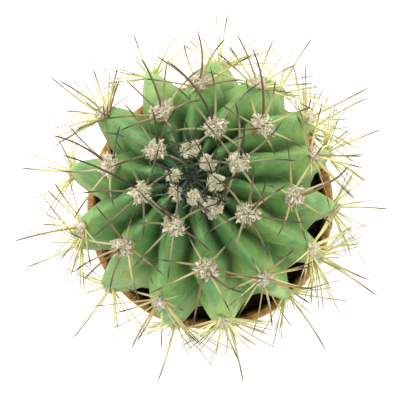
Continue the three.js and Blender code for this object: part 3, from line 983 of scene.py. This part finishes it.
def spine_material():
    """from dark spines at the crown to straw-coloured ones far out, each darker towards its tip"""
    look = Look("spine", roughness=0.5, specular=0.28)
    along, age, tone = look.attribute("along"), look.attribute("age"), look.attribute("tone")
    dark = look.ramp(age, [
        (0.02, (32, 42, 40)), (0.12, (28, 25, 22)), (0.2, (60, 40, 32)), (0.36, (98, 60, 38)),
        (0.5, (162, 140, 86)), (0.75, (206, 196, 130)),
    ])
    light = look.ramp(age, [
        (0.02, (104, 116, 104)), (0.12, (98, 102, 80)), (0.2, (150, 150, 106)), (0.4, (200, 188, 124)),
        (0.55, (230, 224, 156)), (0.75, (248, 244, 178)), (0.9, (248, 242, 168)),
    ])
    tint = look.mix(look.stretch(tone, 0.25, 0.8), dark, light)
    # about four in ten of the spines between the youngest and the outer ones are rusty
    hue = look.math("FRACT", look.times(tone, 7.3))
    grown = look.times(look.stretch(age, 0.14, 0.3), look.stretch(age, 0.6, 0.45))
    tint = look.mix(look.times(look.stretch(hue, 0.55, 0.65), grown, 0.5), tint, (136, 86, 46))

    turning = look.math("ADD", along, look.times(look.noise(2, 3), 0.3))
    middle = look.ramp(age, [(0.2, (92, 86, 62)), (0.5, (152, 136, 90)), (0.75, (186, 186, 138))])
    tint = look.mix(look.times(look.stretch(turning, 0.4, 0.8), 0.5), tint, middle)
    dark_tip = look.ramp(age, [(0.15, (44, 38, 28)), (0.5, (66, 54, 42)), (0.75, (96, 86, 70))])
    faded = look.times(look.stretch(tone, 0.25, 0.55), look.stretch(age, 0.5, 0.7))
    tip = look.mix(faded, dark_tip, (172, 162, 112))
    tint = look.mix(look.stretch(turning, 0.62, 1.02), tint, tip)
    tint = look.mix(look.patches(0.5, 4, (0.45, 0.7), 0.2), tint, (118, 106, 62))
    return look.finish(tint, look.bump(look.noise(0.35, 3), 0.05))


def wool_material():
    look = Look("areole_wool", roughness=0.95, specular=0.1)
    along, age, tone = look.attribute("along"), look.attribute("age"), look.attribute("tone")
    cream = look.mix(tone, (218, 214, 170), (248, 243, 207))
    grey = look.mix(tone, (162, 156, 124), (224, 217, 190))
    bleached = look.mix(tone, (200, 192, 168), (246, 240, 222))
    outer = look.stretch(age, 0.4, 0.6)
    tint = look.mix(look.stretch(age, 0.0, 0.16), cream, grey)
    tint = look.mix(outer, tint, bleached)
    flush = look.math("ADD", 0.16, look.times(look.stretch(age, 0.3, 0.55), 0.3))
    tint = look.mix(look.patches(3, 2, (0.4, 0.65), flush), tint, (214, 192, 168))
    # how strongly the painted root shade and the grey spots show: more on older wool, less far out
    root_shade_and_spots = look.math("SUBTRACT", look.stretch(age, -0.1, 0.25), look.times(outer, 0.6))
    # painted shade: tufts and grown felt pads darken towards the tufts' roots
    tint = look.mix(look.times(look.stretch(along, 0.45, 0.0), 0.75, root_shade_and_spots), tint, (142, 140, 98))
    tint = look.mix(look.times(look.patches(1.2, 3, (0.52, 0.74), 0.3), root_shade_and_spots), tint, (112, 106, 78))
    look.shader.inputs["Sheen Weight"].default_value = 0.3
    return look.finish(tint, look.bump(look.noise(0.25, 4), 0.15))


def clay_material():
    look = Look("clay", roughness=0.85, specular=0.25)
    parts = look.add("ShaderNodeSeparateXYZ", {0: look.place}).outputs
    height = parts["Z"]
    flat = look.add("ShaderNodeCombineXYZ", {"X": parts["X"], "Y": parts["Y"]}).outputs[0]
    radius = look.vector("LENGTH", {0: flat}, "Value")
    # a place whose noise runs in upright streaks
    round_rim = look.vector("SCALE", {0: look.vector("NORMALIZE", {0: flat}), "Scale": RIM_RADIUS * MM})
    rise = look.add("ShaderNodeCombineXYZ", {"Z": look.times(height, 0.15)}).outputs[0]
    streaked = look.vector("ADD", {0: round_rim, 1: rise})

    lime, dark_specks = (206, 178, 142), (126, 82, 48)
    tint = look.mix(look.patches(18, 3, (0.35, 0.7)), (170, 118, 66), (188, 138, 84))
    tint = look.mix(look.patches(9, 5, (0.5, 0.75), 0.35, roughness=0.65), tint, lime)
    tint = look.mix(look.patches(1.6, 5, (0.52, 0.7), 0.4, roughness=0.7), tint, dark_specks)
    rim_highlight, rim_streaks = (188, 142, 84), (112, 72, 38)
    # painted highlight: the top of the rim is lighter, where it catches the light
    on_rim = look.stretch(height, (POT_HEIGHT - 1.5) * MM, (POT_HEIGHT - 0.5) * MM)
    tint = look.mix(look.times(on_rim, 0.85), tint, rim_highlight)
    # darker upright streaks on the rim's top
    on_top = look.times(look.stretch(height, (POT_HEIGHT - 0.7) * MM, POT_HEIGHT * MM), 0.85)
    tint = look.mix(look.patches(3, 6, (0.44, 0.6), on_top, 0.7, streaked), tint, rim_streaks)

    # inside the pot the clay has upright streaks, and painted shade makes it darker, more so further down
    slope = (RIM_RADIUS - LIP - FOOT_RADIUS + WALL) / POT_HEIGHT
    inner_wall = look.math("MULTIPLY_ADD", height, slope, (FOOT_RADIUS - WALL + INSIDE_MARGIN) * MM)
    inside = look.math("LESS_THAN", radius, inner_wall)
    shaded_streaky_clay = look.mix(look.patches(2.2, 4, (0.38, 0.62), place=streaked), (84, 54, 28), (146, 102, 56))
    depth = look.stretch(height, (POT_HEIGHT - 1.5) * MM, (POT_HEIGHT - 9) * MM)
    shaded = look.mix(depth, shaded_streaky_clay, (34, 23, 13))
    tint = look.mix(inside, tint, shaded)
    pits = look.bump(look.noise(0.6, 5), 0.15)
    return look.finish(tint, look.bump(look.noise(3, 4), 0.3, pits))


def soil_material():
    look = Look("soil", roughness=0.95, specular=0.2)
    tint = look.mix(look.attribute("tone"), (30, 21, 13), (70, 50, 32))
    tint = look.mix(look.patches(1.5, 4, (0.5, 0.7)), tint, (92, 70, 46))
    return look.finish(tint, look.bump(look.noise(0.4, 5), 0.25))


def floor_material():
    look = Look("floor", roughness=0.9, specular=0.1)
    look.shader.inputs["Emission Color"].default_value = (1, 1, 1, 1)
    look.shader.inputs["Emission Strength"].default_value = FLOOR_GLOW
    return look.finish(look.mix(look.noise(60, 4), (244, 244, 243), (249, 249, 248)))


# ---- camera, floor and lights ----

def add_camera():
    tilt = math.radians(CAMERA_TILT)
    back = Vector(unit(CAMERA_SIDE) * math.sin(tilt) + np.array([0, 0, math.cos(tilt)]))
    up = (Vector((0, 1, 0)) - back * back.y).normalized()
    right = up.cross(back)
    centre = PHOTO_SIZE / 2
    shift = Vector((RIM_PIXEL[0] - centre, centre - RIM_PIXEL[1])) * CAMERA_DISTANCE / FOCAL_PIXELS
    place = Vector((0, 0, POT_HEIGHT)) + back * CAMERA_DISTANCE - right * shift.x - up * shift.y
    data = bpy.data.cameras.new("camera")
    data.sensor_width = SENSOR
    data.lens = FOCAL_PIXELS / PHOTO_SIZE * SENSOR
    camera = bpy.data.objects.new("camera", data)
    rows = [(right[k], up[k], back[k], place[k] * MM) for k in range(3)]
    camera.matrix_world = Matrix([*rows, (0, 0, 0, 1)])
    bpy.context.scene.collection.objects.link(camera)
    bpy.context.scene.camera = camera


def add_floor():
    mesh = bpy.data.meshes.new("floor")
    corners = [(-1, -1), (1, -1), (1, 1), (-1, 1)]
    mesh.from_pydata([(x * FLOOR_HALF, y * FLOOR_HALF, 0) for x, y in corners], [], [(0, 1, 2, 3)])
    mesh.materials.append(floor_material())
    floor = bpy.data.objects.new("floor", mesh)
    bpy.context.scene.collection.objects.link(floor)


def add_light(name, place, size, power):
    data = bpy.data.lights.new(name, "AREA")
    data.shape = "DISK"
    data.size = size
    data.energy = power
    light = bpy.data.objects.new(name, data)
    light.location = place
    light.rotation_euler = (-Vector(place)).to_track_quat("-Z", "Y").to_euler()
    light.visible_camera = False
    bpy.context.scene.collection.objects.link(light)


def add_lighting():
    world = bpy.data.worlds.new("studio")
    world.use_nodes = True
    background = world.node_tree.nodes["Background"]
    background.inputs["Color"].default_value = (1, 1, 1, 1)
    background.inputs["Strength"].default_value = SKY_STRENGTH
    bpy.context.scene.world = world
    add_light("key", **KEY_LIGHT)
    add_light("fill", **FILL_LIGHT)
    bpy.context.scene.view_settings.view_transform = "Standard"


# ---- the object ----

add_camera()
add_floor()
add_lighting()

ribs = list_areoles()
areoles = [Areole(ribs, rib, number) for rib, listed in enumerate(ribs) for number in range(len(listed))]
upper = [areole for areole in areoles if areole.down <= BRISTLES_FROM]
outer = [areole for areole in areoles if areole.down > BRISTLES_FROM]
spine_look, wool_look, soil_look = spine_material(), wool_material(), soil_material()

make_body(ribs, skin_material())
make_spines("upper_spines", upper, spine_look)
make_spines("outer_spines", outer, spine_look)
make_wool("upper_wool", upper, wool_look, SEEDS["upper_wool"])
make_wool("outer_wool", outer, wool_look, SEEDS["outer_wool"])
make_tangle(spine_look)
make_pot(clay_material())
make_soil(soil_look)
make_grains(soil_look)
